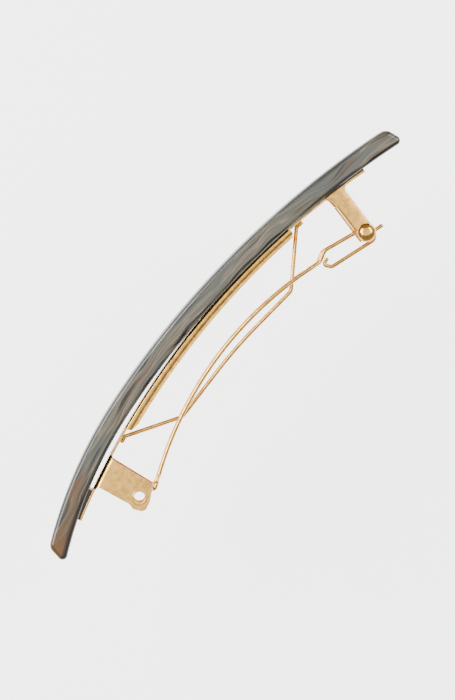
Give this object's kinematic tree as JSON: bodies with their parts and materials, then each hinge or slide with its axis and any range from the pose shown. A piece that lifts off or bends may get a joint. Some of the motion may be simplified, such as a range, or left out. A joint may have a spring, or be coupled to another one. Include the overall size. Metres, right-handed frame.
{
  "type": "barrette",
  "caption": "Long bowed hair barrette: marbled acetate bar on a gilt sheet clip with a swinging wire arm, a tension bow and a catch with two ears.",
  "frame": {"origin": "bottom centre of the whole barrette's box, lying closed on one long edge of the acetate bar", "axes": "+X along the bar towards the hinge end, +Y out of the bowed side, +Z across the width of the clip, along the hinge rivet"},
  "size_m": [0.1008, 0.0194, 0.01],
  "materials": {
    "acetate": "polished marbled acetate",
    "gilt_sheet": "satin gilt",
    "gilt_rivet": "polished gilt",
    "gilt_wire": "polished gilt wire",
    "cement": "dark dried cement"
  },
  "bodies": {
    "base": {"acetate_bar": "acetate", "clip_base": "gilt_sheet", "glue_pads": "cement", "tension_bow": "gilt_wire"},
    "pivot": {"hinge_rivet": "gilt_rivet"},
    "arm": {"wire_arm": "gilt_wire"}
  },
  "joints": [
    {"name": "arm_swing", "type": "hinge", "parent": "base", "child": "pivot", "pos_m": [0.03308, -0.00721, 0.005], "axis": [0, 0, 1], "range_deg": [0, 100]},
    {"name": "arm_slide", "type": "slide", "parent": "pivot", "child": "arm", "axis": [0.939, -0.344, 0], "range_m": [0, 0.004]}
  ]
}
